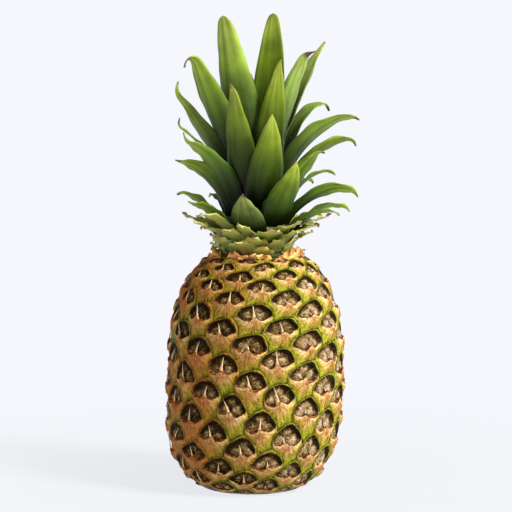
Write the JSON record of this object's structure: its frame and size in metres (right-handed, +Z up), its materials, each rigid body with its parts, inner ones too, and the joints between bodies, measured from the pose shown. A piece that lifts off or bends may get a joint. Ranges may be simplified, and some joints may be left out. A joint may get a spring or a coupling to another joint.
{
  "type": "pineapple",
  "caption": "Whole ripe pineapple standing on its base, with a spiral-eyed rind, cut stalk and leafy crown.",
  "frame": {"origin": "middle of the flat base that the fruit stands on, on the cut stalk's end", "axes": "+Z up through the crown, -Y towards the front of the picture, +X to its right"},
  "size_m": [0.1356, 0.1334, 0.3308],
  "materials": {
    "rind": "waxy yellow-green and brown rind with dark eyes",
    "cut_stalk": "dry, fibrous cut end",
    "scale_leaf": "grey-green waxy leaf",
    "leaf": "satin green leaf with fine lengthwise lines"
  },
  "bodies": {
    "root": {"fruit": "rind", "stalk_stub": "cut_stalk", "crown_stem": "scale_leaf", "leaf_01": "leaf", "leaf_02": "leaf", "leaf_03": "leaf", "leaf_04": "leaf", "leaf_05": "leaf", "leaf_06": "leaf", "leaf_07": "leaf", "leaf_08": "leaf", "leaf_09": "leaf", "leaf_10": "leaf", "leaf_11": "leaf", "leaf_12": "leaf", "leaf_13": "leaf", "leaf_14": "leaf", "leaf_15": "leaf", "leaf_16": "leaf", "leaf_17": "leaf", "leaf_18": "leaf", "leaf_19": "leaf", "leaf_20": "leaf", "leaf_21": "leaf", "leaf_22": "leaf", "leaf_23": "leaf", "leaf_24": "leaf", "leaf_25": "leaf", "leaf_26": "leaf", "leaf_27": "leaf", "leaf_28": "leaf", "leaf_29": "leaf", "leaf_30": "leaf", "leaf_31": "leaf", "leaf_32": "leaf", "leaf_33": "leaf", "leaf_34": "leaf", "leaf_35": "leaf", "leaf_36": "leaf", "leaf_37": "leaf"}
  },
  "joints": []
}
